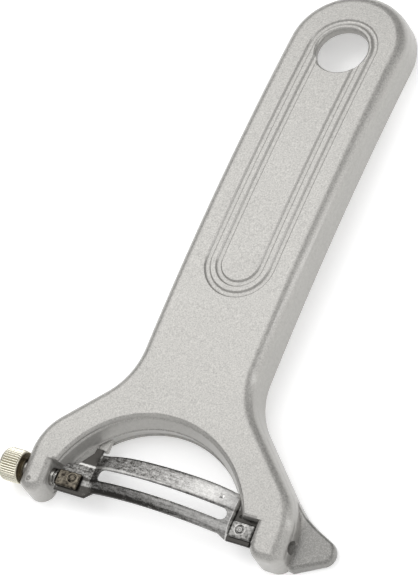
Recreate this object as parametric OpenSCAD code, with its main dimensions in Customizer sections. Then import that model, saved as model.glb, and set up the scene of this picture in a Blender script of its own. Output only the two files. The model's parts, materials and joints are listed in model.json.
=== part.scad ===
// Y-shaped vegetable peeler with a bowed cast handle, a hanging hole and an eye-remover horn.
// It is drawn lying on its back. The working origin is the blade's pivot axis: +X points to the
// horn, +Y to the hanging hole and +Z out of the grooved face. Every piece is then shifted so
// that the finished object's origin is the bottom centre of its bounding box.

/* [Handle] */
// Width of the grip
grip_w = 30; // [28:0.5:31]
// Distance from the pivot axis to the tip of the hanging end
grip_reach = 132; // [126:1:138]
// Thickness of the casting from its back to its face
casting_t = 7.5; // [7:0.1:8]
// Thickness of the web and the side walls of the hollow back
wall_t = 2.5; // [2:0.1:3]
// Radius of the lengthwise bow of the back
bow_r = 497; // [470:1:540]
// Radius of the concave fillets between the grip and the arms
neck_r = 16; // [14:0.5:18]
// Radius of the hanging hole
hole_r = 6.15; // [5:0.05:6.5]
// Distance from the tip of the grip to the centre of the hanging hole
hole_inset = 16.8; // [16:0.1:18]

/* [Face grooves] */
// Half width of the outer groove, measured to its middle
outer_groove_hw = 7.9; // [7.5:0.1:8.5]
// Half width of the inner groove, measured to its middle
inner_groove_hw = 5.3; // [5:0.1:5.8]
// Width of each groove
groove_w = 1.1; // [0.8:0.1:1.4]
// Depth of each groove
groove_d = 0.4; // [0.3:0.1:0.6]
// Distance from the pivot axis to the lower end of the outer groove
groove_start = 49.5; // [45:0.5:55]

/* [Arms] */
// Radius of the arch between the arms
arch_r = 24; // [23.5:0.1:24.2]
// Height of the arch above the pivot axis
arch_rise = 17.2; // [16.5:0.1:18]
// Radius of the left lobe, which holds the screw
left_lobe_r = 4; // [3.8:0.1:4.2]
// Radius of the right lobe's outer corner, next to the horn
right_lobe_r = 3.5; // [3.3:0.1:3.6]
// Radius of the right lobe's inner corner
right_toe_r = 2; // [1.8:0.1:2.2]
// Radius of the horn's tip
horn_tip_r = 3; // [2.6:0.1:3.2]
// Thickness of the horn
horn_t = 2.6; // [2.2:0.1:3]

/* [Pivots] */
// Radius of the screw's spindle and nose
spindle_r = 2; // [1.8:0.05:2.1]
// Radius of the pivot tip on the screw
tip_r = 1.2; // [1:0.05:1.3]
// Radius of the right pivot pin
pin_r = 1.5; // [1.3:0.05:1.6]
// Radial clearance of every turning fit
fit_gap = 0.05; // [0.02:0.01:0.08]
// Radius of the knurled knob
knob_r = 3.85; // [3.5:0.05:4]
// Length of the knob's knurled part
knob_l = 5; // [4:0.1:6]
// Number of ridges round the knob
knurl_count = 40; // [30:1:48]

/* [Blade] */
// Thickness of the blade sheet
blade_t = 0.7; // [0.6:0.05:0.8]
// Height of the blade's top face above the pivot axis, at the ends of the strips
strip_end_h = 3; // [2.9:0.1:3.2]
// Height of the blade's top face above the pivot axis, at mid span
strip_mid_h = 5; // [4.6:0.1:5.4]
// Distance of the rear strip's outer edge behind the pivot axis
rear_edge = 7.6; // [7.4:0.1:7.8]
// Distance of the cutting strip's outer edge in front of the pivot axis
front_edge = 1.8; // [1.6:0.1:2]
// Width of the slot that the peel passes through
slot_w = 2.8; // [2.4:0.1:3]
// Distance of the slot's middle behind the pivot axis
slot_y = 2.7; // [2.5:0.1:2.9]

/* [Hidden] */
$fn = 96;
bow_fn = 720;
eps = 0.01;
reach = 400;

half_w = grip_w / 2;
hole_y = grip_reach - hole_inset;
end_y = grip_reach - half_w;

// Lobes, horn and the two faces that each pivot passes through.
left_lobe = [-28.1, -1.4];
right_lobe = [32, -1.9];
right_toe = [28.9, -3.1];
left_outer_x = left_lobe[0] - left_lobe_r;
left_seat_x = left_outer_x + 0.1;
left_inner_x = -25.9;
right_inner_x = 26.9;
horn_tip = [41.4, 1.7];
horn_rear = [[30.1, 9.8], [33.5, 8.8]];
horn_front = [[36, -4.1]];
horn_a = [64, -72];
pocket_r = 4.2;
pocket_depth = 7;
notch_y = [-8, 3.7];

// Shoulders: arcs that run from the sides of the lobes into the 45 degree flanks.
shoulder_r = 14;
left_shoulder = [left_outer_x + shoulder_r, 3.3];
right_shoulder = [right_lobe[0] + right_lobe_r - shoulder_r, 1.3];
flank_a = 45;

// Placement of the finished object.
x_low = -38;
x_high = horn_tip[0] + horn_tip_r;
y_low = left_lobe[1] - left_lobe_r;
mid = [(x_low + x_high) / 2, (y_low + grip_reach) / 2];
foot_flat = 0.25;
half_l = grip_reach - mid[1];
crown = bow_r - sqrt(bow_r * bow_r - half_l * half_l) - foot_flat;
pivot_back = crown - bow_r + sqrt(bow_r * bow_r - mid[1] * mid[1]);
pivot_z = pivot_back + casting_t / 2;

// Knob and screw along the pivot axis.
knurl_d = 0.25;
knurl_w = 0.26;
knurl_root = 0.35;
knurl_inset = 0.5;
collar_r = [2.6, 2.9];
collar_gap = 0.15;
socket_x = x_low + 1.2;
spindle_x = x_low + 1.4;
nose_x = left_inner_x + 2;
nose_cone = 0.4;
tip_x = left_inner_x + 5;

// Arch and its flare towards the face, with heights above the pivot axis.
arch_c = [-0.3, arch_rise - arch_r];
flare_r = arch_r + 1.5;
flare_h = [-0.5, 2.15];

// Stop lug on the left arm, and the tab of the blade that lands on it.
lug_x = [-17.6, -15.2];
lug_y = 8.3;
lug_l = 4.5;
lug_top = 0.1;
tab_x = [-17.4, -15.6];
tab_y = 9;

// Blade sheet, seen from the front: end plates, joggles and the bowed strips between them.
strip_x = [-13.6, 20.4];
strip_c = (strip_x[0] + strip_x[1]) / 2;
strip_half = (strip_x[1] - strip_x[0]) / 2;
strip_sag = strip_mid_h - strip_end_h;
strip_r = (strip_half * strip_half + strip_sag * strip_sag) / (2 * strip_sag);
strip_a = asin(strip_half / strip_r);
plate_h = [1.25, 1.45];
plate_x = [-23.3, 26.4];
joggle_x = [-15.6, 20.9];
slot_x = [-13.9, 19.2];
plate_front = -3;
plate_rear = 3.5;
left_rear = [-20.2, 4];

// End clips, which clasp the blade's ends round the pivots.
clip_y = [-2, 1.8];
clip_h = 2.1;
clip_x = [[-23.3, -17.6], [20.9, 26.4]];
bush_wall = 0.35;
bush_x = [-23.3, -18.6];
pin_x = [21.1, 33.5];

// Points on an arc from angle a0 to a1 about c.
function arc(c, r, a0, a1, n = 24) =
    [for (i = [0:n]) c + r * [cos(a0 + (a1 - a0) * i / n), sin(a0 + (a1 - a0) * i / n)]];

// Right half of the outline, from the grip down to the side of a lobe whose shoulder is sh.
// The neck fillet is tangent to the grip's side and to the 45 degree flank.
function right_flank(sh) =
    let (neck_x = half_w + neck_r,
         flank_sum = sh[0] + sh[1] + shoulder_r * sqrt(2),
         neck_c = [neck_x, flank_sum - neck_x + neck_r * sqrt(2)])
    concat(arc(neck_c, neck_r, 180, 180 + flank_a), arc(sh, shoulder_r, flank_a, 0));

// The same on either side: s is 1 on the right and -1 on the left.
function flank(sh, s) = [for (p = right_flank([s * sh[0], sh[1]])) [s * p[0], p[1]]];

module place() translate([-mid[0], -mid[1], 0]) children();

// A slab of the bow, between two heights above the back.
module bow_slab(h0, h1) {
    translate([0, mid[1], crown - bow_r]) rotate([0, 90, 0]) difference() {
        cylinder(r = bow_r + h1, h = reach, center = true, $fn = bow_fn);
        cylinder(r = bow_r + h0, h = reach + 1, center = true, $fn = bow_fn);
    }
}

// A plan outline given the height of the bow between h0 and h1 above the back.
module bowed(h0, h1) intersection() {
    translate([0, 0, -20]) linear_extrude(60) children();
    bow_slab(h0, h1);
}

// A cylinder along the pivot axis from x0 to x1.
module along_pivot(r, x0, x1, r_end = undef) {
    translate([x0, 0, pivot_z]) rotate([0, 90, 0])
        cylinder(r1 = r, r2 = r_end == undef ? r : r_end, h = x1 - x0);
}

module grip_outline(hw, y0) {
    translate([-hw, y0]) square([2 * hw, end_y - y0]);
    translate([0, end_y]) circle(r = hw);
}

module plan_outline() {
    difference() {
        union() {
            grip_outline(half_w, arch_rise);
            polygon(concat(
                [[0, grip_reach / 2], [half_w, grip_reach / 2]],
                flank(right_shoulder, 1),
                [[right_shoulder[0] + shoulder_r, right_lobe[1]], [0, right_lobe[1]]]));
            polygon(concat(
                [[0, grip_reach / 2], [-half_w, grip_reach / 2]],
                flank(left_shoulder, -1),
                [[left_outer_x, left_lobe[1]], [0, left_lobe[1]]]));
        }
        translate(arch_c) circle(r = arch_r);
        translate([-arch_r / 2, y_low - 1]) square([arch_r, arch_rise / 2]);
    }
    translate(left_lobe) circle(r = left_lobe_r);
    translate(right_lobe) circle(r = right_lobe_r);
    translate(right_toe) circle(r = right_toe_r);
    polygon([[right_toe[0] - right_toe_r, pocket_r], right_toe - [right_toe_r, 0],
             right_toe - [0, right_toe_r], right_lobe - [0, right_lobe_r],
             [right_lobe[0], pocket_r]]);
}

module horn_outline() polygon(concat(
    horn_rear, arc(horn_tip, horn_tip_r, horn_a[0], horn_a[1]), horn_front, [right_lobe]));

module racetrack(hw, y0, y1) {
    for (y = [y0 + hw, y1 - hw]) translate([0, y]) circle(r = hw);
    translate([-hw, y0 + hw]) square([2 * hw, y1 - y0 - 2 * hw]);
}

// One groove: a racetrack ring that runs round the hanging hole.
module groove_ring(hw) {
    y0 = groove_start + outer_groove_hw - hw;
    y1 = hole_y + hw + 0.3;
    difference() {
        racetrack(hw + groove_w / 2, y0 - groove_w / 2, y1 + groove_w / 2);
        racetrack(hw - groove_w / 2, y0 + groove_w / 2, y1 - groove_w / 2);
    }
}

// The hanging hole runs square to the bowed face.
module hanging_bore() {
    hole_a = asin((hole_y - mid[1]) / (bow_r + casting_t));
    translate([0, mid[1], crown - bow_r]) rotate([-hole_a, 0, 0])
        translate([0, 0, bow_r - 5]) cylinder(r = hole_r, h = casting_t + 10);
}

// Opens the arch towards the face, so that the blade's rear corner swings past the arm.
module arch_flare() translate([arch_c[0], arch_c[1], pivot_z]) {
    translate([0, 0, flare_h[0]])
        cylinder(r1 = arch_r, r2 = flare_r, h = flare_h[1] - flare_h[0], $fn = 180);
    translate([0, 0, flare_h[1] - eps]) cylinder(r = flare_r, h = 2 * casting_t, $fn = 180);
}

// A pocket round the pivot axis, open towards the face, in which one end of the blade turns.
module pivot_pocket(x0, x1) {
    along_pivot(pocket_r, x0, x1);
    translate([x0, notch_y[0], pivot_z]) cube([x1 - x0, notch_y[1] - notch_y[0], 2 * casting_t]);
}

module stop_lug() translate([lug_x[0], lug_y, pivot_back])
    cube([lug_x[1] - lug_x[0], lug_l, pivot_z + lug_top - pivot_back]);

module handle_casting() color([0.78, 0.78, 0.76]) difference() {
    union() {
        bowed(0, casting_t) plan_outline();
        bowed(0, horn_t) horn_outline();
        stop_lug();
    }
    bowed(-8, casting_t - wall_t)
        grip_outline(half_w - wall_t, arch_rise + 2 * wall_t);
    bowed(casting_t - groove_d, casting_t + 2) {
        groove_ring(outer_groove_hw);
        groove_ring(inner_groove_hw);
    }
    hanging_bore();
    arch_flare();
    pivot_pocket(left_inner_x, left_inner_x + pocket_depth);
    pivot_pocket(right_inner_x - pocket_depth, right_inner_x);
    along_pivot(spindle_r + fit_gap, left_outer_x - 1, left_inner_x + eps);
    along_pivot(pin_r + fit_gap, right_inner_x - eps, right_lobe[0] + right_lobe_r + 1);
    along_pivot(knob_r, left_outer_x - 2, left_seat_x);
    translate([-reach / 2, -reach / 2, -20]) cube([reach, reach, 20]);
}

// Straight-knurled knob with a collar that meets the lobe.
module knurled_knob() color([0.86, 0.82, 0.7]) difference() {
    union() {
        along_pivot(knob_r - knurl_d, x_low, x_low + knob_l);
        for (i = [0:knurl_count - 1])
            translate([x_low + knurl_inset, 0, pivot_z]) rotate([i * 360 / knurl_count, 0, 0])
                translate([0, -knurl_w / 2, knob_r - knurl_d - knurl_root])
                    cube([knob_l - 2 * knurl_inset, knurl_w, knurl_d + knurl_root]);
        along_pivot(collar_r[0], x_low + knob_l - eps, left_seat_x - collar_gap, collar_r[1]);
    }
    along_pivot(spindle_r + fit_gap, socket_x, left_outer_x);
}

// Threaded spindle, drawn plain, with its nose and pivot tip.
module pivot_screw() color([0.62, 0.62, 0.62]) {
    along_pivot(spindle_r, spindle_x, nose_x);
    along_pivot(spindle_r, nose_x - eps, nose_x + nose_cone, spindle_r - nose_cone);
    along_pivot(tip_r, nose_x, tip_x);
}

// Top line of the blade seen from the front, as heights above the pivot axis.
function blade_line(d) = concat(
    [[plate_x[0], plate_h[0] - d], [joggle_x[0], plate_h[0] - d]],
    [for (i = [0:32]) let (a = strip_a * (i / 16 - 1))
        [strip_c + strip_r * sin(a), strip_mid_h - strip_r * (1 - cos(a)) - d]],
    [[joggle_x[1], plate_h[1] - d], [plate_x[1], plate_h[1] - d]]);

module blade_plan() difference() {
    polygon([
        [plate_x[0], plate_front], [joggle_x[0], plate_front],
        [strip_x[0], -front_edge], [strip_x[1] - 2, -front_edge],
        [joggle_x[1], plate_front], [plate_x[1], plate_front],
        [plate_x[1], plate_rear], [joggle_x[1] + 1.2, plate_rear],
        [strip_x[1] + 0.2, plate_rear + 0.3], [strip_x[1], rear_edge],
        [joggle_x[0], rear_edge], [tab_x[1], tab_y], [tab_x[0], tab_y],
        [tab_x[0], rear_edge], [left_rear[0], left_rear[1]], [plate_x[0], plate_rear]]);
    for (x = [slot_x[0] + slot_w / 2, slot_x[1] - slot_w / 2])
        translate([x, slot_y]) circle(r = slot_w / 2);
    translate([slot_x[0] + slot_w / 2, slot_y - slot_w / 2])
        square([slot_x[1] - slot_x[0] - slot_w, slot_w]);
    for (c = clip_x) translate([c[0] - eps, clip_y[0]])
        square([c[1] - c[0] + 2 * eps, clip_y[1] - clip_y[0]]);
}

module slotted_blade() color([0.55, 0.55, 0.54]) intersection() {
    translate([0, 20, pivot_z]) rotate([90, 0, 0]) linear_extrude(40)
        polygon(concat(blade_line(0), [for (i = [0:36]) blade_line(blade_t)[36 - i]]));
    translate([0, 0, -20]) linear_extrude(60) blade_plan();
}

module end_clip(x, bore) color([0.5, 0.5, 0.49]) difference() {
    translate([x[0], clip_y[0], pivot_z - clip_h])
        cube([x[1] - x[0], clip_y[1] - clip_y[0], 2 * clip_h]);
    along_pivot(bore, x[0] - 1, x[1] + 1);
}

module left_end_clip() end_clip(clip_x[0], tip_r + fit_gap + bush_wall);

module right_end_clip() end_clip(clip_x[1], pin_r);

module left_bush() color([0.7, 0.66, 0.55]) difference() {
    along_pivot(tip_r + fit_gap + bush_wall, bush_x[0], bush_x[1]);
    along_pivot(tip_r + fit_gap, bush_x[0] - 1, bush_x[1] + 1);
}

module right_pivot_pin() color([0.62, 0.62, 0.62]) along_pivot(pin_r, pin_x[0], pin_x[1]);

place() handle_casting();
place() knurled_knob();
place() pivot_screw();
place() slotted_blade();
place() left_end_clip();
place() right_end_clip();
place() left_bush();
place() right_pivot_pin();
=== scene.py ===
"""Y-shaped vegetable peeler: the finished look of every piece, in the frame of its CAD model.

Pieces are modelled in millimetres about the blade's pivot axis: +X points to the horn, +Y to
the hanging hole and +Z out of the grooved face. settle() then puts them in the object's frame.
"""
import json
import math

import bmesh
import bpy
from mathutils import Matrix, Vector


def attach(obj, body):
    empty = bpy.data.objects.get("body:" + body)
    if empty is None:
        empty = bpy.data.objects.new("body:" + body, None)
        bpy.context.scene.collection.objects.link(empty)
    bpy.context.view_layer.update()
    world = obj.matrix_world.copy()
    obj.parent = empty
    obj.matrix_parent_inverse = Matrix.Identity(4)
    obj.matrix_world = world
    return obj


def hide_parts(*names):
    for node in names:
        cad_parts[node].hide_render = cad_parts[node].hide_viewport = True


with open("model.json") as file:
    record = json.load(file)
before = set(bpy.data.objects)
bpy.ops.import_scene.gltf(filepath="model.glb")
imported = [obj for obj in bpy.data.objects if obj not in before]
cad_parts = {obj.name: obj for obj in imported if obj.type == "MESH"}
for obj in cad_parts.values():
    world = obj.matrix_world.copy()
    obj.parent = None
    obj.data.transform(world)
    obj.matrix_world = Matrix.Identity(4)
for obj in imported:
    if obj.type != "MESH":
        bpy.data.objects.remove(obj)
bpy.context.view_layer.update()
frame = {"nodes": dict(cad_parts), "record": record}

# ---------------------------------------------------------------- shared dimensions, mm
PIVOT = Vector(next(j["pos_m"] for j in frame["record"]["behaviour"]["joints"]
                    if j["name"] == "blade_swing"))
PLACE = Matrix.Translation(PIVOT) @ Matrix.Scale(0.001, 4)
TABLE_Z = -1000 * PIVOT.z

X, Y, Z = Vector((1, 0, 0)), Vector((0, 1, 0)), Vector((0, 0, 1))

CASTING_T = 7.5
HALF_W = 15
END_Y = 117
GRIP_REACH = END_Y + HALF_W
BOW_R = 497
BOW_MID = (GRIP_REACH - 5.4) / 2
BOW_DROP = math.sqrt(BOW_R ** 2 - BOW_MID ** 2) + CASTING_T / 2

NECK_R = 16
SHOULDER_R = 14
RIGHT_SHOULDER = (21.5, 1.3)
LEFT_SHOULDER = (-18.1, 3.3)
ARCH_C, ARCH_R = Vector((-0.3, -6.8, 0)), 24
LEFT_LOBE, LEFT_LOBE_R = (-28.55, -1.85), 3.55
RIGHT_LOBE, RIGHT_LOBE_R = (32, -1.9), 3.5
RIGHT_TOE, RIGHT_TOE_R = (29.9, -2.4), 3
LEFT_FACE_X, RIGHT_FACE_X = -25.2, 26.9
POCKET_LIP_Y = 2.8
POCKET_R = 4.2
LUG_X, LUG_Y = (-17.6, -15.2), (8.7, 12.8)
HOLE_Y = 115.2
HOLE_R = 6.15
HORN_TIP, HORN_TIP_R = (41.3, 1.6), 2.95
SCREW_BORE_R, PIN_BORE_R = 2.05, 1.55
FAR_X, FAR_Y = 60, 150

BLADE_T = 0.7
STRIP_X0, STRIP_X1 = -13.6, 20.4
STRIP_END_H, STRIP_MID_H = 2.5, 5.1
FRONT_EDGE, REAR_EDGE = -1.8, 7.6
LEFT_PLATE_H, RIGHT_PLATE_H = 1.25, 1.45
LEFT_PLATE_X, RIGHT_PLATE_X = -23.3, 26.4
PLATE_FRONT, PLATE_REAR = -3.0, 3.5
LEFT_JOGGLE_X, RIGHT_JOGGLE_X = -15.6, 20.9
TAB_X, TAB_Y = -17.4, 8.8
SLOT_FRONT, SLOT_REAR = 1.3, 4.1
SWAY, SWAY_POWER = 0.75, 1.3
CLIP_LOW, CLIP_HIGH, CLIP_H = -2.0, 1.8, 2.1


# ---------------------------------------------------------------- drawing and turning
class Pen:
    """Draws a flat outline, anticlockwise, out of straight lines and arcs."""

    def __init__(self, x, y, z=0.0):
        self.bm = bmesh.new()
        self.first = self.tip = self.bm.verts.new((x, y, z))

    def line(self, x, y):
        self.tip = bmesh.ops.extrude_vert_indiv(self.bm, verts=[self.tip])["verts"][0]
        self.tip.co = Vector((x, y, self.first.co.z))
        return self

    def arc(self, centre, sweep, steps=16):
        """Turns the tip by sweep degrees about centre."""
        turned = bmesh.ops.spin(self.bm, geom=[self.tip], cent=(*centre, 0), axis=Z,
                                angle=math.radians(sweep), steps=steps)
        self.tip = turned["geom_last"][0]
        return self

    def face(self):
        """Closes the outline and fills it."""
        bmesh.ops.remove_doubles(self.bm, verts=self.bm.verts, dist=1e-4)
        self.bm.verts.ensure_lookup_table()
        loose = [v for v in self.bm.verts if len(v.link_edges) == 1]
        if loose:
            bmesh.ops.contextual_create(self.bm, geom=loose)
        bmesh.ops.contextual_create(self.bm, geom=self.bm.edges[:])
        bmesh.ops.recalc_face_normals(self.bm, faces=self.bm.faces)
        top = self.bm.faces[:][0]
        if top.normal.z < 0:
            bmesh.ops.reverse_faces(self.bm, faces=[top])
        return self.bm


def grow(bm, steps, foot=()):
    """Grows the flat face in bm into a solid, upwards by steps and downwards by foot.

    Each step is (inset, rise) of its moving face."""
    under = next(g for g in bmesh.ops.duplicate(bm, geom=bm.faces[:])["geom"]
                 if isinstance(g, bmesh.types.BMFace))
    bmesh.ops.reverse_faces(bm, faces=[under])
    over = next(f for f in bm.faces if f != under)
    for moving, way, moves in ((over, 1, steps), (under, -1, foot)):
        for inset, rise in moves:
            if inset:
                bmesh.ops.inset_region(bm, faces=[moving], thickness=inset,
                                       use_boundary=True, use_even_offset=True)
            else:
                grown = bmesh.ops.extrude_face_region(bm, geom=[moving])["geom"]
                if moving.is_valid:
                    bmesh.ops.delete(bm, geom=[moving], context="FACES_ONLY")
                moving = next(g for g in grown if isinstance(g, bmesh.types.BMFace))
            bmesh.ops.translate(bm, verts=moving.verts[:], vec=Z * rise * way)
    bmesh.ops.remove_doubles(bm, verts=bm.verts, dist=1e-4)
    bmesh.ops.recalc_face_normals(bm, faces=bm.faces)
    return bm


def lathe(profile, centre, axis, side, steps):
    """Turns a profile of (radius, distance along the axis) points into a solid."""
    bm = bmesh.new()
    tip = None
    for radius, along in profile:
        spot = centre + side * radius + axis * along
        if tip is None:
            tip = bm.verts.new(spot)
        else:
            tip = bmesh.ops.extrude_vert_indiv(bm, verts=[tip])["verts"][0]
            tip.co = spot
    bmesh.ops.spin(bm, geom=bm.verts[:] + bm.edges[:], cent=centre, axis=axis,
                   angle=2 * math.pi, steps=steps, use_merge=True)
    bmesh.ops.remove_doubles(bm, verts=bm.verts, dist=1e-3)
    bmesh.ops.recalc_face_normals(bm, faces=bm.faces)
    return bm


def block(low, high, rounding=0.0, segments=3):
    """A box between two corners, with rounded edges."""
    low, high = Vector(low), Vector(high)
    size = high - low
    bm = bmesh.new()
    bmesh.ops.create_cube(bm, size=1, matrix=Matrix.Translation((low + high) / 2)
                          @ Matrix.Diagonal((*size, 1)))
    if rounding:
        bmesh.ops.bevel(bm, geom=bm.edges[:], offset=rounding, offset_type="OFFSET",
                        segments=segments, profile=0.5, affect="EDGES", material=-1,
                        clamp_overlap=True)
    return bm


def slice_along(bm, axis, start, end, pitch):
    """Cuts bm square to axis at every pitch, so that it can bend."""
    for i in range(int((end - start) / pitch) + 1):
        bmesh.ops.bisect_plane(bm, geom=bm.verts[:] + bm.edges[:] + bm.faces[:], dist=1e-5,
                               plane_co=axis * (start + i * pitch), plane_no=axis)


def bow(bm):
    """Bends heights above a flat back into heights above the handle's bowed back."""
    for v in bm.verts:
        across = v.co.y - BOW_MID
        v.co.z = math.sqrt((BOW_R + v.co.z) ** 2 - across ** 2) - BOW_DROP
    return bm


def thing(name, bm):
    """An object made from bm, which is used up."""
    mesh = bpy.data.meshes.new(name)
    bm.to_mesh(mesh)
    bm.free()
    made = bpy.data.objects.new(name, mesh)
    bpy.context.scene.collection.objects.link(made)
    return made


def machined(name, bm, cuts=(), joins=(), meets=()):
    """A bmesh of bm after other solids are cut from it, joined to it or met with it."""
    body = thing(name, bm)
    tools = []
    for how, solids in (("INTERSECT", meets), ("DIFFERENCE", cuts), ("UNION", joins)):
        for solid in solids:
            tool = thing("tool", solid)
            tools.append(tool)
            step = body.modifiers.new(how.lower(), "BOOLEAN")
            step.operation, step.solver, step.object = how, "EXACT", tool
    bpy.context.view_layer.update()
    shaped = body.evaluated_get(bpy.context.evaluated_depsgraph_get())
    result = bmesh.new()
    result.from_mesh(shaped.data)
    for spent in [body] + tools:
        mesh = spent.data
        bpy.data.objects.remove(spent)
        bpy.data.meshes.remove(mesh)
    bmesh.ops.remove_doubles(result, verts=result.verts, dist=2e-3)
    bmesh.ops.dissolve_degenerate(result, dist=1e-3, edges=result.edges)
    return result


def settle(name, bm, body, nodes, finish, sharp=35):
    """Puts a finished piece in the object's frame, with its finish, on its moving body."""
    bmesh.ops.transform(bm, matrix=PLACE, verts=bm.verts)
    piece = thing(name, bm)
    piece.data.shade_smooth()
    piece.data.set_sharp_from_angle(angle=math.radians(sharp))
    weigh = piece.modifiers.new("weigh", "WEIGHTED_NORMAL")
    weigh.keep_sharp = True
    piece.data.materials.append(finish)
    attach(piece, body)
    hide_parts(*nodes)
    return piece


# ---------------------------------------------------------------- finishes
class Wire:
    """A value on its way through a finish, which takes ordinary arithmetic."""

    def __init__(self, finish, socket):
        self.finish, self.socket = finish, socket

    def _math(self, operation, *values):
        return self.finish.node("ShaderNodeMath", *values, operation=operation)

    def __add__(self, other):
        return self._math("ADD", self, other)

    def __radd__(self, other):
        return self._math("ADD", other, self)

    def __sub__(self, other):
        return self._math("SUBTRACT", self, other)

    def __rsub__(self, other):
        return self._math("SUBTRACT", other, self)

    def __mul__(self, other):
        return self._math("MULTIPLY", self, other)

    def __rmul__(self, other):
        return self._math("MULTIPLY", other, self)

    def __pow__(self, other):
        return self._math("POWER", self, other)

    def over(self, low, high):
        """0 below low and 1 above high, with a smooth step between."""
        return self.finish.node("ShaderNodeMapRange", self, low, high,
                                interpolation_type="SMOOTHSTEP")


class Finish:
    """A material with one Principled shader."""

    def __init__(self, name, **constants):
        self.material = bpy.data.materials.new(name)
        self.material.use_nodes = True
        self.tree = self.material.node_tree
        self.shader = self.tree.nodes["Principled BSDF"]
        for label, value in constants.items():
            self.shader.inputs[label.replace("_", " ")].default_value = value

    def node(self, kind, *feeds, out=0, named=None, **settings):
        """Adds a node. feeds go to its inputs in order and named to inputs by their label."""
        made = self.tree.nodes.new(kind)
        for label, value in settings.items():
            setattr(made, label, value)
        for place, value in list(enumerate(feeds)) + list((named or {}).items()):
            if isinstance(value, Wire):
                self.tree.links.new(value.socket, made.inputs[place])
            elif value is not None:
                made.inputs[place].default_value = value
        return Wire(self, made.outputs[out])

    def feed(self, label, wire):
        """Sends a varying value to the shader's socket of that name."""
        self.tree.links.new(wire.socket, self.shader.inputs[label])

    def place(self):
        """Where a point is on the object, in metres."""
        return self.node("ShaderNodeTexCoord", out=3)

    def stretched(self, x, y, z):
        """place() with each axis scaled."""
        return self.node("ShaderNodeVectorMath", self.place(), (x, y, z), operation="MULTIPLY")

    def axis(self, which):
        """Millimetres from the blade's pivot along axis 0, 1 or 2."""
        parts = self.node("ShaderNodeSeparateXYZ", self.place(), out=which)
        return (parts - PIVOT[which]) * 1000

    def noise(self, where, scale, detail=2.0):
        return self.node("ShaderNodeTexNoise", where,
                         named={"Scale": scale, "Detail": detail})

    def blend(self, amount, first, second):
        return self.node("ShaderNodeMix", amount, data_type="RGBA", out=2,
                         named={6: (*first, 1), 7: (*second, 1)})

    def relief(self, height, strength, distance):
        return self.node("ShaderNodeBump", named={"Height": height, "Strength": strength,
                                                  "Distance": distance})

    def upward(self):
        """1 on surfaces that face out of the grooved face, 0 on walls."""
        normal = self.node("ShaderNodeTexCoord", out=1)
        parts = self.node("ShaderNodeSeparateXYZ", normal, out=2)
        return parts.over(0.35, 0.85)


def cast_finish():
    """Satin cast aluminium with a metallic sparkle, smoother on its walls, with painted shade on
    the horn.
    """
    f = Finish("cast_aluminium_finish", Metallic=0.55, IOR=1.5, Coat_Weight=0.35,
               Coat_Roughness=0.14)
    grain = f.noise(f.place(), 3300, 1)
    mottle = f.noise(f.place(), 1300, 2)
    broad = f.noise(f.place(), 90, 2)
    up = f.upward()
    across = f.axis(0)
    # painted shade on the horn's tilted face, which is darkened beyond the lobe
    horn_painted_shade = across.over(34.8, 36.2)
    tone = (grain - 0.5) * (0.95 * up + 0.3) + (mottle - 0.5) * 0.3 + (broad - 0.5) * 0.08
    tone = tone + 0.5 - 0.42 * horn_painted_shade
    f.feed("Base Color", f.blend(tone, (0.215, 0.2105, 0.2), (0.58, 0.567, 0.539)))
    f.feed("Roughness", 0.40 + (grain - 0.5) * 0.2 + (mottle - 0.5) * 0.1)
    f.feed("Normal", f.relief(grain * (0.8 * up + 0.2) + mottle * 0.5, 0.16, 0.0001))
    return f.material


def knob_finish():
    """Bright nickel plate over brass, with painted shade, warm and dark, everywhere below the
    knurl's crests.
    """
    f = Finish("nickel_brass_finish", Metallic=1.0)
    streak = f.noise(f.stretched(300, 2500, 2500), 1, 2)
    radius = (f.axis(1) ** 2 + f.axis(2) ** 2) ** 0.5
    # crest is 1 on the knurl's crests and 0 below them: painted light on the crests, painted shade
    # in the valleys, on the end faces and on the collar
    crest = radius.over(3.42, 3.82)
    f.feed("Base Color", f.blend(0.86 * crest + 0.28 * (streak - 0.5), (0.24, 0.21, 0.15),
                                 (0.80, 0.775, 0.66)))
    f.feed("Roughness", 0.3 - 0.12 * crest + 0.1 * streak)
    f.feed("Normal", f.relief(streak, 0.12, 0.00005))
    return f.material


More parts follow.
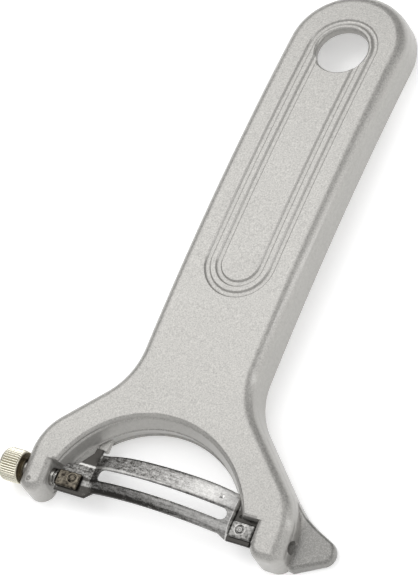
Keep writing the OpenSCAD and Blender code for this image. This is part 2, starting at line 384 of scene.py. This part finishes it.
def blade_finish():
    """Hardened sheet, mottled, with painted shade at the screw's end giving way to painted light
    towards the other, and painted highlights and shade along its slot, edges and creases.

    reach is the distance behind the pivot with the strips' sway taken out."""
    f = Finish("blade_steel_finish", Metallic=1.0)
    streak = f.noise(f.stretched(130, 3000, 3000), 1, 3)
    cloud = f.noise(f.stretched(1, 1.6, 1.6), 900, 3)
    fleck = f.noise(f.place(), 3200, 1)
    along = f.axis(0)
    # A share that rises from the screw's end to the far end; the tone uses it for painted shade at
    # the screw's end and painted light towards the far end.
    rightward_share = along.over(-16, 20)
    reach = f.axis(1) + SWAY * rightward_share ** SWAY_POWER
    # painted highlight along the slot's rear rim, fading towards the far end
    slot_rim_highlight = reach.over(SLOT_REAR - 0.1, SLOT_REAR + 0.1) \
        - reach.over(SLOT_REAR + 0.3, SLOT_REAR + 0.8)
    # ground marks a painted highlight band along the middle of the front strip
    ground = reach.over(-0.7, -0.3) - reach.over(0.7, 1.1)
    # painted shade over the front strip, which leans down
    front = 1 - reach.over(SLOT_FRONT - 0.1, SLOT_FRONT + 0.3)
    # painted shade on the tab and the blade's rear left corner
    corner = (1 - along.over(-15.8, -15.2)) * reach.over(4.2, 5.0)
    # painted highlight along the right joggle's crease
    crease = (along.over(20.2, 20.35) - along.over(20.6, 20.8)) * (1 - reach.over(4.0, 5.5))
    tone = (streak - 0.5) * 0.5 + (cloud - 0.5) * 0.5 + (fleck - 0.5) * 0.5 + 0.11
    # painted light towards the far end, the slot rim's painted highlight and the front strip's
    # painted highlight band
    tone = tone + 0.42 * rightward_share ** 2 + slot_rim_highlight * (0.42 - 0.75 * rightward_share) + 0.3 * ground
    # painted shade on the front strip, along the rear edge and on the tab corner, and a painted
    # highlight on the right crease
    tone = tone - 0.22 * front - 0.2 * reach.over(7.4, 8.2) - 0.4 * corner + 0.5 * crease
    # painted light on the right part of the rear strip and painted shade past the right crease
    tone = tone + 0.25 * reach.over(4.4, 5.5) * along.over(8, 17) - 0.65 * along.over(20.5, 20.9)
    f.feed("Base Color", f.blend(tone, (0.045, 0.043, 0.04), (0.80, 0.79, 0.77)))
    f.feed("Roughness", 0.24 + 0.2 * streak)
    f.feed("Normal", f.relief(streak * 0.5 + cloud, 0.18, 0.0001))
    return f.material


def clip_finish(name, stake, dark, bright):
    """Pressed steel, clouded and scratched, with a painted highlight on its staked dimple and
    ring.
    """
    f = Finish(name, Metallic=1.0)
    cloud = f.noise(f.place(), 1500, 3)
    scratch = f.noise(f.stretched(500, 3600, 3600), 1, 2)
    out = ((f.axis(0) - stake[0]) ** 2 + (f.axis(1) - stake[1]) ** 2) ** 0.5
    # painted highlight on the stake's dimple and on the pressed ring round it
    stake_painted_highlight = 1.6 - 1.6 * out.over(0.2, 0.6) + out.over(1.0, 1.15) - out.over(1.2, 1.45)
    tone = (cloud - 0.5) * 1.3 + (scratch - 0.5) * 0.5 + 0.24 + 0.26 * stake_painted_highlight
    f.feed("Base Color", f.blend(tone, dark, bright))
    f.feed("Roughness", 0.20 + 0.22 * cloud)
    f.feed("Normal", f.relief(cloud + 0.4 * scratch, 0.22, 0.0001))
    return f.material


def turned_finish():
    """Turned and polished steel, with fine rings round the pivot axis."""
    f = Finish("pivot_steel_finish", Metallic=1.0)
    rings = f.noise(f.stretched(5200, 200, 200), 1, 2)
    f.feed("Base Color", f.blend(rings, (0.09, 0.087, 0.08), (0.42, 0.41, 0.39)))
    f.feed("Roughness", 0.16 + 0.14 * rings)
    f.feed("Normal", f.relief(rings, 0.15, 0.00004))
    return f.material


def bush_finish():
    """Plain turned bronze."""
    f = Finish("bush_bronze_finish", Metallic=1.0)
    rings = f.noise(f.stretched(4200, 300, 300), 1, 2)
    f.feed("Base Color", f.blend(rings, (0.42, 0.31, 0.18), (0.68, 0.55, 0.36)))
    f.feed("Roughness", 0.28 + 0.14 * rings)
    return f.material


def floor_finish():
    """Matt white paper, with a faint tooth."""
    f = Finish("paper_floor_finish", Roughness=0.9, Emission_Strength=0.36,
               Emission_Color=(1, 1, 1, 1))
    tooth = f.noise(f.place(), 900, 2)
    f.feed("Base Color", f.blend(tooth, (0.93, 0.93, 0.93), (0.96, 0.96, 0.96)))
    return f.material


# ---------------------------------------------------------------- casting
def neck_centre(shoulder):
    """Height of the neck fillet's centre above a shoulder whose flank runs at 45 degrees."""
    across = HALF_W + NECK_R
    flank = abs(shoulder[0]) + shoulder[1] + SHOULDER_R * math.sqrt(2)
    return flank - across + NECK_R * math.sqrt(2)


def casting_outline():
    """Plan of the handle and its arms, which run on past the lobes."""
    neck_x = HALF_W + NECK_R
    right, left = (neck_x, neck_centre(RIGHT_SHOULDER)), (-neck_x, neck_centre(LEFT_SHOULDER))
    slant = NECK_R * math.sqrt(0.5)
    pen = Pen(RIGHT_SHOULDER[0] + SHOULDER_R, -12)
    pen.line(RIGHT_SHOULDER[0] + SHOULDER_R, RIGHT_SHOULDER[1]).arc(RIGHT_SHOULDER, 45)
    pen.line(right[0] - slant, right[1] - slant).arc(right, -45)
    pen.line(HALF_W, END_Y).arc((0, END_Y), 180, 64)
    pen.line(-HALF_W, left[1]).arc(left, -45)
    slope = SHOULDER_R * math.sqrt(0.5)
    pen.line(LEFT_SHOULDER[0] - slope, LEFT_SHOULDER[1] + slope).arc(LEFT_SHOULDER, 45)
    return pen.line(LEFT_SHOULDER[0] - SHOULDER_R, -12).face()


def quarter(radius, steps, share=1.0):
    """(inset, rise) steps of a rounded edge of that radius."""
    turn = [math.pi / 2 * share * i / steps for i in range(steps + 1)]
    return [(radius * (math.cos(a) - math.cos(b)), radius * (math.sin(b) - math.sin(a)))
            for a, b in zip(turn, turn[1:])]


def casting_slab():
    """The handle's solid form: drafted wall, parting ledge and a generous face fillet."""
    foot = [(0.03, 0.1), (0.05, 0.08), (0.09, 0.05)]
    wall = [(0.06, 0.9), (0.08, 1.2), (0.09, 1.3), (0.10, 0.8), (0.10, 0.18), (0.04, 0.12)]
    bm = casting_outline()
    bmesh.ops.translate(bm, verts=bm.verts, vec=Z * 0.25)
    grow(bm, wall + quarter(2.75, 12), foot)
    return bm


def lobe_ends():
    """A block that is wider than the casting, shaped round the two lobes' lower ends."""
    turn = math.radians(190)
    side_y = -0.7
    pen = Pen(FAR_X, FAR_Y).line(-FAR_X, FAR_Y).line(-FAR_X, side_y)
    pen.line(LEFT_LOBE[0] + LEFT_LOBE_R * math.cos(turn),
             LEFT_LOBE[1] + LEFT_LOBE_R * math.sin(turn)).arc(LEFT_LOBE, 170, 40)
    pen.line(-20, 2).line(20, 2).line(23.5, -1.5)
    pen.line(RIGHT_TOE[0] - RIGHT_TOE_R, RIGHT_TOE[1]).arc(RIGHT_TOE, 90, 12)
    pen.line(RIGHT_LOBE[0], RIGHT_LOBE[1] - RIGHT_LOBE_R).arc(RIGHT_LOBE, 80, 16)
    bm = pen.line(FAR_X, side_y).face()
    bmesh.ops.translate(bm, verts=bm.verts, vec=Z * -2)
    return grow(bm, [(0, 2.2), (0.12, 5.6)] + quarter(1.7, 8) + [(0.5, 0.4)])


def arch_tool():
    """What opens the arch between the arms, flared towards the face."""
    low, high = -1.5, 9.5
    wall = [(0.2, low), (-0.05, 0), (-0.15, 0.15), (-0.15, 0.4), (0.15, 0.55), (0.1, 0.8),
            (0, 2.9), (0.28, 3.1), (0.35, 3.3), (0.12, 3.55), (1.1, 6.0), (1.2, 6.2),
            (1.55, 6.4), (1.62, 6.65), (1.48, 6.9), (1.66, 7.2), (1.95, 7.42), (2.35, 7.6),
            (3.5, high)]
    profile = [(0, low)] + [(ARCH_R + out, height) for out, height in wall] + [(0, high)]
    return lathe(profile, ARCH_C, Z, X, 240)


def hollow_tool():
    """The hollow in the back of the grip, with a rounded floor."""
    hw, low = HALF_W - 2.5, 22.2
    pen = Pen(-hw + 1.5, low).line(hw - 1.5, low).arc((hw - 1.5, low + 1.5), 90, 8)
    pen.line(hw, END_Y).arc((0, END_Y), 180, 48)
    bm = pen.line(-hw, low + 1.5).arc((-hw + 1.5, low + 1.5), 90, 8).face()
    bmesh.ops.translate(bm, verts=bm.verts, vec=Z * -1.2)
    return grow(bm, [(0.3, 1.2), (0.35, 5.0 - 1.1)] + quarter(1.1, 6))


def groove_tool(hw):
    """A shallow round-edged channel round a long ring that is hw from the middle."""
    half = [(0.98, 0.3), (0.86, 0.02), (0.76, -0.04), (0.60, -0.22), (0.46, -0.4), (0.3, -0.45)]
    low, high = 57.4, HOLE_Y
    bm = bmesh.new()
    tip = None
    for across, height in half + [(-a, h) for a, h in reversed(half)]:
        spot = Vector((hw + across, low, CASTING_T + height))
        if tip is None:
            tip = bm.verts.new(spot)
        else:
            tip = bmesh.ops.extrude_vert_indiv(bm, verts=[tip])["verts"][0]
            tip.co = spot
    ends = [v for v in bm.verts if len(v.link_edges) == 1]
    bmesh.ops.contextual_create(bm, geom=ends)
    rim = bm.edges[:]
    for centre_y, run in ((low, high - low), (high, low - high)):
        ring = bmesh.ops.spin(bm, geom=list({v for e in rim for v in e.verts}) + rim,
                              cent=(0, centre_y, 0), axis=Z, angle=-math.pi, steps=40)
        rim = [g for g in ring["geom_last"] if isinstance(g, bmesh.types.BMEdge)]
        drawn = bmesh.ops.extrude_edge_only(bm, edges=rim)["geom"]
        bmesh.ops.translate(bm, verts=[g for g in drawn if isinstance(g, bmesh.types.BMVert)],
                            vec=Y * run)
        rim = [g for g in drawn if isinstance(g, bmesh.types.BMEdge)
               and all(v in drawn for v in g.verts)]
    bmesh.ops.remove_doubles(bm, verts=bm.verts, dist=1e-3)
    bmesh.ops.recalc_face_normals(bm, faces=bm.faces)
    return bm


def hole_tool():
    """The hanging hole, square to the bowed face, with a rounded rim on either side."""
    lean = math.asin((HOLE_Y - BOW_MID) / (BOW_R + CASTING_T))
    axis = Vector((0, math.sin(lean), math.cos(lean)))
    face = axis * (BOW_R + CASTING_T) + Vector((0, BOW_MID, -BOW_DROP))
    low, high = -9, 0.6
    wall = [(1.45, low), (0.75, -3.2), (0.35, -2.5), (0.15, -2.3), (0, -2.0), (0, -0.8),
            (0.05, -0.5), (0.17, -0.25), (0.4, -0.07), (0.75, 0.03), (1.65, high)]
    profile = [(0, low)] + [(HOLE_R + out, height) for out, height in wall] + [(0, high)]
    return lathe(profile, face, axis, X, 128)


def notch_tool(x0, x1, rear):
    """A pocket for one end of the blade, round below the axis and open to the face."""
    drop = math.asin(rear / POCKET_R)
    pen = Pen(-9, 0).line(-POCKET_R, 0).arc((0, 0), 90 + math.degrees(drop), 32)
    bm = grow(pen.line(rear, 12).line(-9, 12).face(), [(0, x1 - x0)])
    bmesh.ops.rotate(bm, cent=(0, 0, 0), verts=bm.verts,
                     matrix=Matrix(((0, 0, 1), (1, 0, 0), (0, 1, 0))))
    bmesh.ops.translate(bm, verts=bm.verts, vec=X * x0)
    return bm


def rolled_edge(edge, side, radius, low, high, along_x):
    """What rounds an upper edge of the flat casting; side is where the open pocket lies."""
    top = CASTING_T
    pen = Pen(edge, top - radius)
    pen.arc((edge - side * radius, top - radius), 90 * side, 10)
    bm = pen.line(edge - side * radius, top + 2).line(edge + side, top + 2) \
        .line(edge + side, top - radius).face()
    bm = grow(bm, [(0, high - low)])
    if along_x:
        turn, shift = Matrix(((0, 0, 1), (1, 0, 0), (0, 1, 0))), X * low
    else:
        turn, shift = Matrix(((1, 0, 0), (0, 0, -1), (0, 1, 0))), Y * high
    bmesh.ops.rotate(bm, cent=(0, 0, 0), verts=bm.verts, matrix=turn)
    bmesh.ops.translate(bm, verts=bm.verts, vec=shift)
    return bm


def turned(profile, steps=64):
    """A solid turned about the pivot axis, from (radius, x) points."""
    return lathe(profile, Vector(), X, Z, steps)


def horn():
    """The eye-remover horn, a tongue that thins towards its rounded edges and its tip."""
    (cx, cy), r = HORN_TIP, HORN_TIP_R
    end = math.radians(-72)
    pen = Pen(30.5, -3.4).line(36.2, -4.3)
    pen.line(cx + r * math.cos(end), cy + r * math.sin(end)).arc(HORN_TIP, 132, 28)
    pen.line(38.8, 5.85).line(36.8, 6.9).line(35.3, 7.8).line(33.9, 9.0).line(32.3, 10.4)
    bm = pen.line(30.1, 11.8).face()
    bmesh.ops.translate(bm, verts=bm.verts, vec=Z * 0.25)
    grow(bm, [(0, 0.75), (0.12, 0.8)] + quarter(0.8, 8))
    for v in bm.verts:
        v.co.z *= 1 - 0.028 * max(v.co.x - 34, 0)
    return bow(bm)


def stop_lug():
    """The lug on the left arm that the blade's tab comes down on."""
    return block((LUG_X[0], LUG_Y[0], -1.2), (LUG_X[1], LUG_Y[1], 0.1), 0.35)


def dimple():
    """A small casting mark on the left lobe."""
    mark = pit_tool(-28.9, -2.9, 0.45, 0.2)
    bmesh.ops.translate(mark, verts=mark.verts, vec=Z * (CASTING_T / 2 - 0.55))
    return mark


def casting():
    """The handle: everything square to its back is cut flat, then bowed, then bored."""
    flat = machined("flat", casting_slab(), meets=[lobe_ends()],
                    cuts=[arch_tool(), hollow_tool(), groove_tool(7.85), groove_tool(5.2),
                          rolled_edge(LEFT_FACE_X, 1, 1.7, -8, POCKET_LIP_Y, False),
                          rolled_edge(POCKET_LIP_Y, -1, 0.55, LEFT_FACE_X, -19, True),
                          rolled_edge(RIGHT_FACE_X, -1, 1.6, -8, POCKET_LIP_Y, False),
                          rolled_edge(POCKET_LIP_Y, -1, 0.55, 20, RIGHT_FACE_X, True)])
    slice_along(flat, Y, -5, GRIP_REACH, 2.3)
    bow(flat)
    table = block((-FAR_X, -30, TABLE_Z - 20), (FAR_X, FAR_Y, TABLE_Z))
    cuts = [hole_tool(), notch_tool(LEFT_FACE_X, LEFT_FACE_X + 7, POCKET_LIP_Y),
            notch_tool(RIGHT_FACE_X - 8.3, RIGHT_FACE_X, POCKET_LIP_Y),
            turned([(0, -34), (SCREW_BORE_R, -34), (SCREW_BORE_R, LEFT_FACE_X + 1),
                    (0, LEFT_FACE_X + 1)]),
            turned([(0, RIGHT_FACE_X - 1), (PIN_BORE_R, RIGHT_FACE_X - 1), (PIN_BORE_R, 35.3),
                    (PIN_BORE_R + 0.2, 35.5), (PIN_BORE_R + 0.2, 36), (0, 36)]),
            turned([(0, -36), (4.2, -36), (4.2, -32.4), (3.85, -32.0), (0, -32.0)]),
            dimple()]
    whole = machined("whole", flat, joins=[stop_lug()], cuts=cuts)
    whole = machined("horned", whole, joins=[horn()])
    whole = machined("rested", whole, cuts=[table])
    return settle("casting_body", whole, "handle", ["handle_casting"],
                  cast_finish(), 32)


# ---------------------------------------------------------------- knob and screw
RIDGES = 40


def knob():
    """Straight-knurled knob: ridged drum, undercut and polished cone, turned about the axis."""
    stations = [(-37.6, 2.9, 0), (-37.57, 3.2, 0), (-37.45, 3.45, 0), (-37.25, 3.62, 0.02),
                (-37.05, 3.74, 0.1), (-36.85, 3.81, 0.22), (-36.6, 3.85, 0.3),
                (-33.5, 3.85, 0.3), (-33.2, 3.82, 0.22), (-33.0, 3.76, 0.12),
                (-32.84, 3.66, 0.03), (-32.76, 3.52, 0), (-32.74, 3.3, 0), (-32.8, 2.7, 0),
                (-32.86, 2.45, 0), (-32.8, 2.3, 0), (-32.6, 2.3, 0), (-32.45, 2.42, 0),
                (-32.25, 2.5, 0), (-32.12, 2.5, 0)]
    bm = bmesh.new()
    bmesh.ops.create_circle(bm, cap_ends=True, radius=1, segments=6 * RIDGES,
                            matrix=Matrix.Rotation(math.pi / 2, 4, "Y"))
    moving = bm.faces[:][0]
    for place, (x, radius, depth) in enumerate(stations):
        if place:
            grown = bmesh.ops.extrude_face_region(bm, geom=[moving],
                                                  use_keep_orig=place == 1)["geom"]
            if place > 1 and moving.is_valid:
                bmesh.ops.delete(bm, geom=[moving], context="FACES_ONLY")
            moving = next(g for g in grown if isinstance(g, bmesh.types.BMFace))
        for v in moving.verts:
            turn = math.atan2(v.co.z, v.co.y)
            dip = 0.5 - 0.5 * math.cos(turn * RIDGES)
            reach = radius - depth * dip ** 1.6
            v.co = Vector((x, reach * math.cos(turn), reach * math.sin(turn)))
    bmesh.ops.recalc_face_normals(bm, faces=bm.faces)
    return settle("knob_body", bm, "knob", ["knurled_knob"], knob_finish(), 50)


def screw():
    """Spindle with a blunt nose and the pivot tip that runs in the bush."""
    profile = [(0, -36.6), (1.7, -36.6), (2.0, -36.3), (2.0, -24.6), (1.97, -24.4), (1.75, -24.3),
               (1.75, -24.15), (1.95, -24.05), (2.0, -23.9), (1.9, -23.7), (1.6, -23.55),
               (1.2, -23.5), (1.2, -21.2), (0.95, -20.9), (0, -20.9)]
    return settle("screw_body", turned(profile, 72), "screw", ["pivot_screw"],
                  turned_finish(), 40)


# ---------------------------------------------------------------- blade
def blade_height(x):
    """Height of the blade's top face above the pivot axis."""
    if x <= LEFT_JOGGLE_X:
        return LEFT_PLATE_H
    if x >= RIGHT_JOGGLE_X:
        return RIGHT_PLATE_H
    if x < STRIP_X0:
        share = (x - LEFT_JOGGLE_X) / (STRIP_X0 - LEFT_JOGGLE_X)
        return LEFT_PLATE_H + (STRIP_END_H - LEFT_PLATE_H) * share
    if x > STRIP_X1:
        share = (x - STRIP_X1) / (RIGHT_JOGGLE_X - STRIP_X1)
        return STRIP_END_H + (RIGHT_PLATE_H - STRIP_END_H) * share
    half = (STRIP_X1 - STRIP_X0) / 2
    sag = STRIP_MID_H - STRIP_END_H
    radius = (half * half + sag * sag) / (2 * sag)
    return STRIP_MID_H - radius + math.sqrt(radius ** 2 - (x - (STRIP_X0 + STRIP_X1) / 2) ** 2)


def blade_outline():
    """Plan of the blade before it is bent: two end plates, the strips and the stop tab."""
    pen = Pen(LEFT_PLATE_X, PLATE_FRONT).line(LEFT_JOGGLE_X, PLATE_FRONT)
    pen.line(STRIP_X0, FRONT_EDGE).line(18.4, FRONT_EDGE).line(RIGHT_JOGGLE_X, PLATE_FRONT)
    pen.line(RIGHT_PLATE_X, PLATE_FRONT).line(RIGHT_PLATE_X, PLATE_REAR)
    pen.line(22.3, PLATE_REAR).line(21.3, 5.0).line(STRIP_X1, REAR_EDGE)
    pen.line(LEFT_JOGGLE_X, REAR_EDGE).line(LEFT_JOGGLE_X, TAB_Y).line(TAB_X, TAB_Y)
    return pen.line(TAB_X, REAR_EDGE).line(-20.2, 4.0).line(LEFT_PLATE_X, PLATE_REAR).face()


def slot_tool():
    """The slot that the peel passes through, with ground edges."""
    hw, mid = (SLOT_REAR - SLOT_FRONT) / 2, (SLOT_REAR + SLOT_FRONT) / 2
    x0, x1 = -13.9, 19.2
    pen = Pen(x0 + hw, mid - hw).line(x1 - hw, mid - hw).arc((x1 - hw, mid), 180, 16)
    bm = pen.line(x0 + hw, mid + hw).arc((x0 + hw, mid), 180, 16).face()
    bmesh.ops.translate(bm, verts=bm.verts, vec=Z * -1.2)
    return grow(bm, [(0, 0.75), (0.0, 0.22), (-0.05, 0.12), (-0.12, 0.11), (-0.3, 0.3)])


def pit_tool(x, y, radius, depth):
    """A small round punch mark in a face at height zero."""
    rise = (radius * radius - depth * depth) / (2 * depth)
    ball = math.hypot(radius, rise)
    bm = bmesh.new()
    bmesh.ops.create_uvsphere(bm, u_segments=24, v_segments=14, radius=ball,
                              matrix=Matrix.Translation((x, y, rise)))
    return bm


def crown_strip(v):
    """Leans the strips' outer parts down, bulges the rear edge and sways the rest forward."""
    share = min((v.co.x - LEFT_JOGGLE_X) / 2.5, (RIGHT_JOGGLE_X - v.co.x) / 0.5, 1)
    front = max(SLOT_FRONT - v.co.y, 0) / (SLOT_FRONT - FRONT_EDGE)
    rear = max(v.co.y - SLOT_REAR, 0) / (REAR_EDGE - SLOT_REAR)
    if share > 0:
        along = min(max((v.co.x - STRIP_X0) / (STRIP_X1 - STRIP_X0), 0), 1)
        sway = (1 - rear) * SWAY * along ** SWAY_POWER
        bulge = rear * 0.65 * (1 - (2 * along - 1) ** 4)
        v.co.y += share * (0.36 * front ** 1.5 - 0.2 * rear ** 2 - sway + bulge)
        v.co.z -= share * (0.95 * front ** 1.5 + 0.35 * rear ** 2)


def ring_tool(x, y, radius, width, depth):
    """A pressed ring, as a half-round channel in a face at height zero."""
    profile = [(radius + width / 2 * math.cos(math.radians(a)), -depth * math.sin(math.radians(a)))
               for a in range(0, 181, 30)]
    profile = [(profile[0][0], 0.5)] + profile + [(profile[-1][0], 0.5)]
    bm = bmesh.new()
    tip = None
    for out, up in profile:
        spot = Vector((x + out, y, up))
        if tip is None:
            tip = bm.verts.new(spot)
        else:
            tip = bmesh.ops.extrude_vert_indiv(bm, verts=[tip])["verts"][0]
            tip.co = spot
    bmesh.ops.contextual_create(bm, geom=[v for v in bm.verts if len(v.link_edges) == 1])
    bmesh.ops.spin(bm, geom=bm.verts[:] + bm.edges[:], cent=(x, y, 0), axis=Z,
                   angle=2 * math.pi, steps=36, use_merge=True)
    bmesh.ops.remove_doubles(bm, verts=bm.verts, dist=1e-3)
    bmesh.ops.recalc_face_normals(bm, faces=bm.faces)
    return bm


def blade():
    """The slotted sheet, cut flat and then bent to its crown and joggles."""
    bm = blade_outline()
    bmesh.ops.translate(bm, verts=bm.verts, vec=Z * -BLADE_T)
    bm = grow(bm, [(0, BLADE_T - 0.16), (0.06, 0.1), (0.1, 0.06)])
    pits = [(22.0, 3.0, 0.45, 0.18), (24.6, 2.8, 0.45, 0.18), (16.9, 5.9, 0.45, 0.14),
            (-16.5, 3.4, 0.5, 0.2), (-21.4, 3.1, 0.4, 0.15)]
    cuts = [slot_tool()] + [pit_tool(*pit) for pit in pits]
    bm = machined("sheet", bm, cuts=cuts)
    slice_along(bm, X, STRIP_X0, STRIP_X1, 0.85)
    for crease in (LEFT_JOGGLE_X, RIGHT_JOGGLE_X, STRIP_X1):
        slice_along(bm, X, crease, crease, 1)
    for step in range(5):
        slice_along(bm, Y, -1.4 + 0.6 * step, -1.4 + 0.6 * step, 1)
        slice_along(bm, Y, 4.4 + 0.7 * step, 4.4 + 0.7 * step, 1)
    for v in bm.verts:
        crown_strip(v)
        v.co.z += blade_height(v.co.x)
    return settle("blade_body", bm, "blade", ["slotted_blade"],
                  blade_finish(), 30)


def clip(name, node, x0, x1, bore, stake, finish):
    """An end clip, pressed round the pivot and staked to the blade."""
    body = block((x0, CLIP_LOW, -CLIP_H), (x1, CLIP_HIGH, CLIP_H), 0.4, 4)
    marks = [ring_tool(stake[0], stake[1], 0.85, 0.5, 0.22), pit_tool(*stake, 0.35, 0.12)]
    for mark in marks:
        bmesh.ops.translate(mark, verts=mark.verts, vec=Z * CLIP_H)
    drill = turned([(0, x0 - 1), (bore, x0 - 1), (bore, x1 + 1), (0, x1 + 1)], 48)
    return settle(name, machined(name, body, cuts=marks + [drill]), "blade", [node],
                  finish, 40)


def clips():
    left, right = (-19.5, 0.3), (23.2, 0.0)
    # The left clip takes a darker, warmer copy of the right clip's steel: painted shade on the
    # clip beside the knob.
    shaded_steel = clip_finish("left_clip_shaded_finish", left, (0.012, 0.010, 0.008), (0.27, 0.24, 0.19))
    grey = clip_finish("right_clip_finish", right, (0.07, 0.069, 0.066), (0.60, 0.59, 0.57))
    clip("left_clip_body", "left_end_clip", LEFT_PLATE_X, -17.6, 1.6, left, shaded_steel)
    clip("right_clip_body", "right_end_clip", RIGHT_JOGGLE_X, RIGHT_PLATE_X, 1.5, right,
         grey)


def small_fittings():
    """The bush and the right pin keep their CAD shapes."""
    for node, finish in (("left_bush", bush_finish()), ("right_pivot_pin", turned_finish())):
        mesh = frame["nodes"][node].data
        mesh.materials.clear()
        mesh.materials.append(finish)


# ---------------------------------------------------------------- floor, light and camera
def floor():
    """Plain pale paper that the peeler lies on."""
    bm = bmesh.new()
    bmesh.ops.create_grid(bm, x_segments=1, y_segments=1, size=3)
    paper = thing("floor", bm)
    paper.data.materials.append(floor_finish())


def lamp(name, towards, distance, width, height, power):
    """An area light in a direction from the peeler, facing it."""
    light = bpy.data.lights.new(name, "AREA")
    light.shape, light.size, light.size_y = "RECTANGLE", width, height
    light.energy = power
    holder = bpy.data.objects.new(name, light)
    towards = Vector(towards).normalized()
    holder.location = towards * distance
    holder.rotation_euler = towards.to_track_quat("Z", "Y").to_euler()
    bpy.context.scene.collection.objects.link(holder)


def studio():
    """Soft surroundings, brighter in front of the peeler than behind it."""
    world = bpy.data.worlds.new("studio")
    world.use_nodes = True
    bpy.context.scene.world = world
    tree = world.node_tree
    way = tree.nodes.new("ShaderNodeTexCoord")
    lean = tree.nodes.new("ShaderNodeVectorMath")
    lean.operation = "DOT_PRODUCT"
    lean.inputs[1].default_value = (0.55, -0.8, 0.25)
    glow = tree.nodes.new("ShaderNodeMapRange")
    glow.interpolation_type = "SMOOTHSTEP"
    spread, dim, bright = 0.6, 0.18, 0.80
    for place, value in ((1, -spread), (2, spread), (3, dim), (4, bright)):
        glow.inputs[place].default_value = value
    tree.links.new(way.outputs["Generated"], lean.inputs[0])
    tree.links.new(lean.outputs["Value"], glow.inputs[0])
    tree.links.new(glow.outputs[0], tree.nodes["Background"].inputs["Color"])


def lights():
    """A broad key from behind and to the left, and a strip that lines the right edges."""
    lamp("key", (-0.5, 0.32, 0.8), 0.95, 0.85, 0.95, 5.2)
    lamp("strip", (0.83, 0.31, 0.45), 0.85, 0.06, 0.8, 1.1)
    studio()
    bpy.context.scene.view_settings.view_transform = "Standard"


def camera():
    """A long lens that looks down on the peeler from the front and the horn's side."""
    data = bpy.data.cameras.new("camera")
    data.lens, data.sensor_width, data.sensor_height = 187.83, 36, 36
    data.sensor_fit = "AUTO"
    data.clip_start, data.clip_end = 0.01, 20
    right = Vector((0.8634, 0.3886, -0.3217))
    down = Vector((0.2226, -0.8657, -0.4483))
    ahead = Vector((-0.4527, 0.3154, -0.8340))
    turn = Matrix((right, -down, -ahead)).transposed()
    stand = PIVOT + Vector((0.29665, -0.16023, 0.56285))
    holder = bpy.data.objects.new("camera", data)
    holder.matrix_world = Matrix.Translation(stand) @ turn.to_4x4()
    bpy.context.scene.collection.objects.link(holder)
    bpy.context.scene.camera = holder


casting()
knob()
screw()
blade()
clips()
small_fittings()
floor()
lights()
camera()
